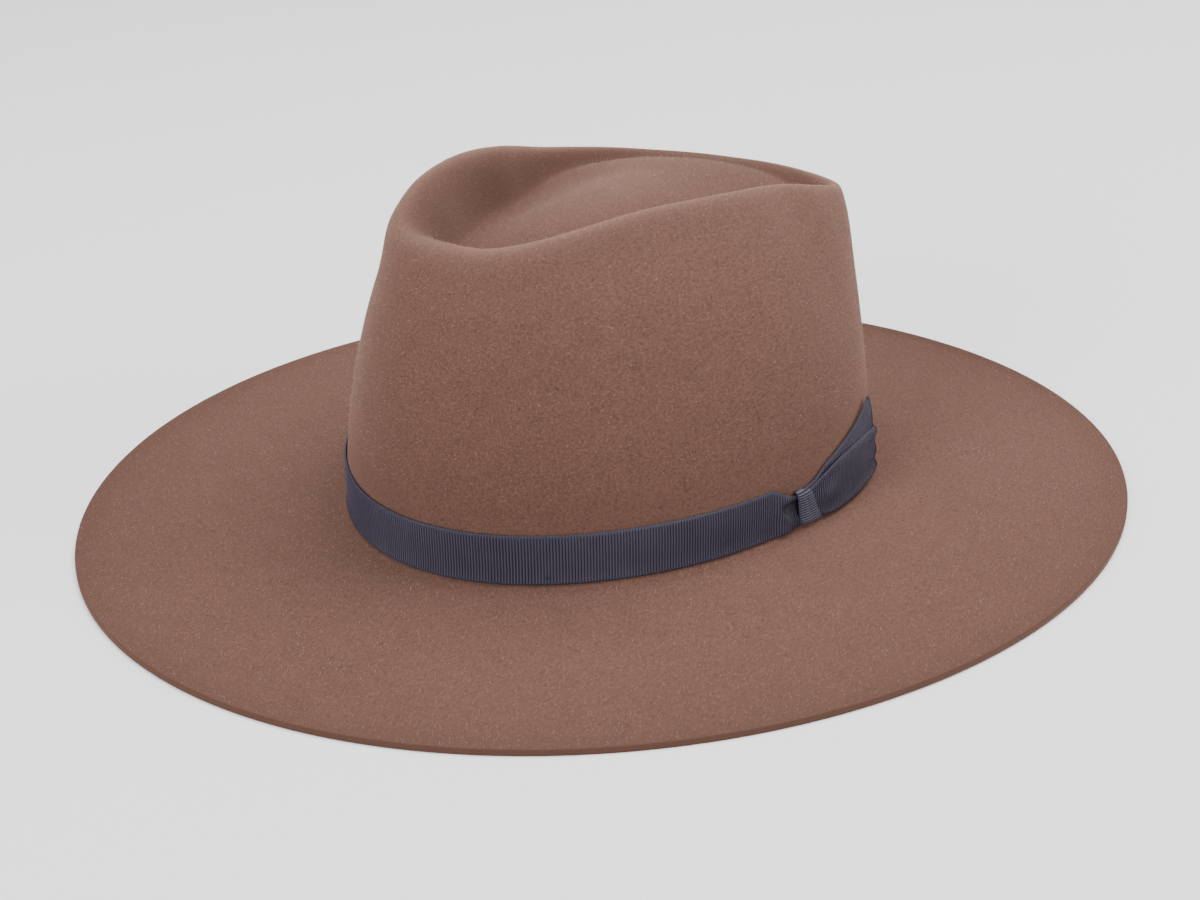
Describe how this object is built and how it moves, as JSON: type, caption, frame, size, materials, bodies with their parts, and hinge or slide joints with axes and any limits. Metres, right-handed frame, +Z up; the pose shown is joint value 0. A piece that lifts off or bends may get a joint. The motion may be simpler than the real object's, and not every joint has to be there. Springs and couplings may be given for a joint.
{
  "type": "flat brim felt hat",
  "caption": "Felt hat with a wide flat brim, a teardrop crown and a dark ribbon band with a flat side bow.",
  "frame": {"origin": "on the resting plane, under the middle of the brim", "axes": "+Z up, the front of the hat faces -Y, the bow on the wearer's left faces +X"},
  "size_m": [0.3474, 0.379, 0.115],
  "materials": {
    "felt": "warm brown wool felt, short dull nap, lighter along the crown's folds",
    "ribbon": "dark blue-grey grosgrain ribbon with fine cross ribs and a soft sheen"
  },
  "bodies": {
    "root": {"felt_body": "felt", "hat_band": "ribbon", "bow_keeper": "ribbon", "bow_tail_back": "ribbon", "bow_tail_front": "ribbon"}
  },
  "joints": []
}
